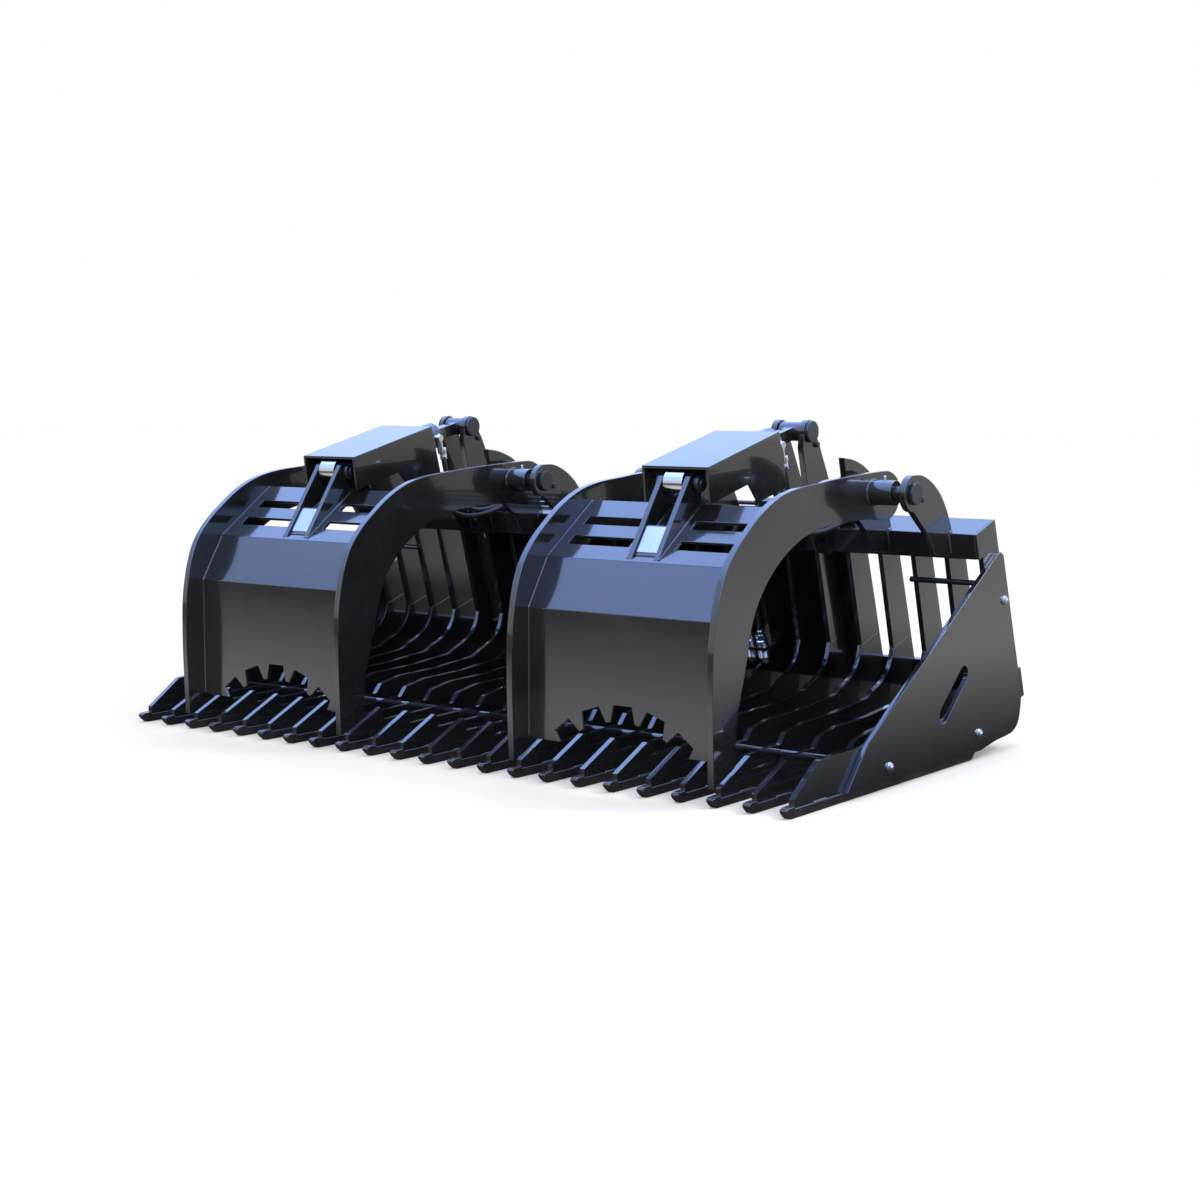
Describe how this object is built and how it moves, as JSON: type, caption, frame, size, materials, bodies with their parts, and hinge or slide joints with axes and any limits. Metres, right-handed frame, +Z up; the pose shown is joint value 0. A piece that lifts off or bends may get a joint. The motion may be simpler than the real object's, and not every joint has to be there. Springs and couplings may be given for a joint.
{
  "type": "skeleton rock grapple bucket",
  "caption": "Skid-steer skeleton rock bucket with a tined floor and back, a quick-attach plate, and two hydraulic clamshell grapples.",
  "frame": {"origin": "underside of the centre tine's runner, halfway between the tine tips and the foot of the back, on the ground", "axes": "+X across the machine to the operator's left when the bucket faces away, +Y from the tine tips towards the loader, +Z up"},
  "size_m": [2.0078, 1.1551, 0.7889],
  "materials": {
    "black_paint": "gloss black enamel",
    "runner_paint": "gloss black enamel, scuffed at the tips",
    "zinc_fasteners": "bright zinc plate",
    "plated_fittings": "zinc nickel plate",
    "pin_steel": "satin black oxide",
    "line_steel": "gloss black enamel over steel line",
    "hose_rubber": "matt wrapped rubber",
    "block_steel": "satin black",
    "data_plate": "brushed blank plate",
    "rod_chrome": "hard chrome",
    "machined_steel": "turned"
  },
  "bodies": {
    "bucket": {"floor_tines": "black_paint", "end_tines": "black_paint", "heel_knees": "black_paint", "back_ribs": "black_paint", "tine_runners": "runner_paint", "cross_rods": "black_paint", "heel_bar": "black_paint", "side_plate_left": "black_paint", "side_plate_right": "black_paint", "side_plate_bolts": "zinc_fasteners", "top_tube": "black_paint", "top_tube_caps": "black_paint", "stub_braces": "black_paint", "mount_plate": "black_paint", "mount_upper_lip": "black_paint", "mount_lower_lip": "black_paint", "mount_side_bars": "black_paint", "left_pivot_ears": "black_paint", "right_pivot_ears": "black_paint", "left_cylinder_tower": "black_paint", "right_cylinder_tower": "black_paint", "pivot_pins": "pin_steel", "pin_keeper_bolts": "pin_steel", "tower_pins": "pin_steel", "hose_blocks": "block_steel", "steel_lines": "line_steel", "supply_hoses": "hose_rubber", "quick_couplers": "plated_fittings", "coupler_holster": "black_paint"},
    "left_grapple": {"left_outer_arm": "black_paint", "left_inner_arm": "black_paint", "left_front_panel": "black_paint", "left_slat_panel": "black_paint", "left_cylinder_lugs": "black_paint", "left_data_plate": "data_plate", "left_lug_pin": "pin_steel", "left_pivot_bosses": "black_paint"},
    "left_cylinder": {"left_barrel": "black_paint", "left_gland": "machined_steel", "left_cover": "black_paint", "left_cover_brackets": "black_paint", "left_port_fittings": "plated_fittings"},
    "left_piston_rod": {"left_rod": "rod_chrome", "left_piston": "machined_steel"},
    "right_grapple": {"right_outer_arm": "black_paint", "right_inner_arm": "black_paint", "right_front_panel": "black_paint", "right_slat_panel": "black_paint", "right_cylinder_lugs": "black_paint", "right_data_plate": "data_plate", "right_lug_pin": "pin_steel", "right_pivot_bosses": "black_paint"},
    "right_cylinder": {"right_barrel": "black_paint", "right_gland": "machined_steel", "right_cover": "black_paint", "right_cover_brackets": "black_paint", "right_port_fittings": "plated_fittings"},
    "right_piston_rod": {"right_rod": "rod_chrome", "right_piston": "machined_steel"}
  },
  "joints": [
    {"name": "left_grapple_hinge", "type": "hinge", "parent": "bucket", "child": "left_grapple", "pos_m": [0, 0.12159, 0.62687], "axis": [-1, 0, 0], "range_deg": [0, 45]},
    {"name": "left_cylinder_hinge", "type": "hinge", "parent": "bucket", "child": "left_cylinder", "pos_m": [0, 0.21959, 0.76087], "axis": [-1, 0, 0], "range_deg": [0, 36.7]},
    {"name": "left_rod_slide", "type": "slide", "parent": "left_cylinder", "child": "left_piston_rod", "axis": [0, 0.9761, 0.2175], "range_m": [0, 0.1084]},
    {"name": "right_grapple_hinge", "type": "hinge", "parent": "bucket", "child": "right_grapple", "pos_m": [0, 0.12159, 0.62687], "axis": [-1, 0, 0], "range_deg": [0, 45]},
    {"name": "right_cylinder_hinge", "type": "hinge", "parent": "bucket", "child": "right_cylinder", "pos_m": [0, 0.21959, 0.76087], "axis": [-1, 0, 0], "range_deg": [0, 36.7]},
    {"name": "right_rod_slide", "type": "slide", "parent": "right_cylinder", "child": "right_piston_rod", "axis": [0, 0.9761, 0.2175], "range_m": [0, 0.1084]}
  ],
  "couplings": [
    {"joint": "left_cylinder_hinge", "follows": "left_grapple_hinge", "ratio": 0.794},
    {"joint": "left_rod_slide", "follows": "left_grapple_hinge", "m_per_rad": 0.1355},
    {"joint": "right_cylinder_hinge", "follows": "right_grapple_hinge", "ratio": 0.794},
    {"joint": "right_rod_slide", "follows": "right_grapple_hinge", "m_per_rad": 0.1355}
  ]
}
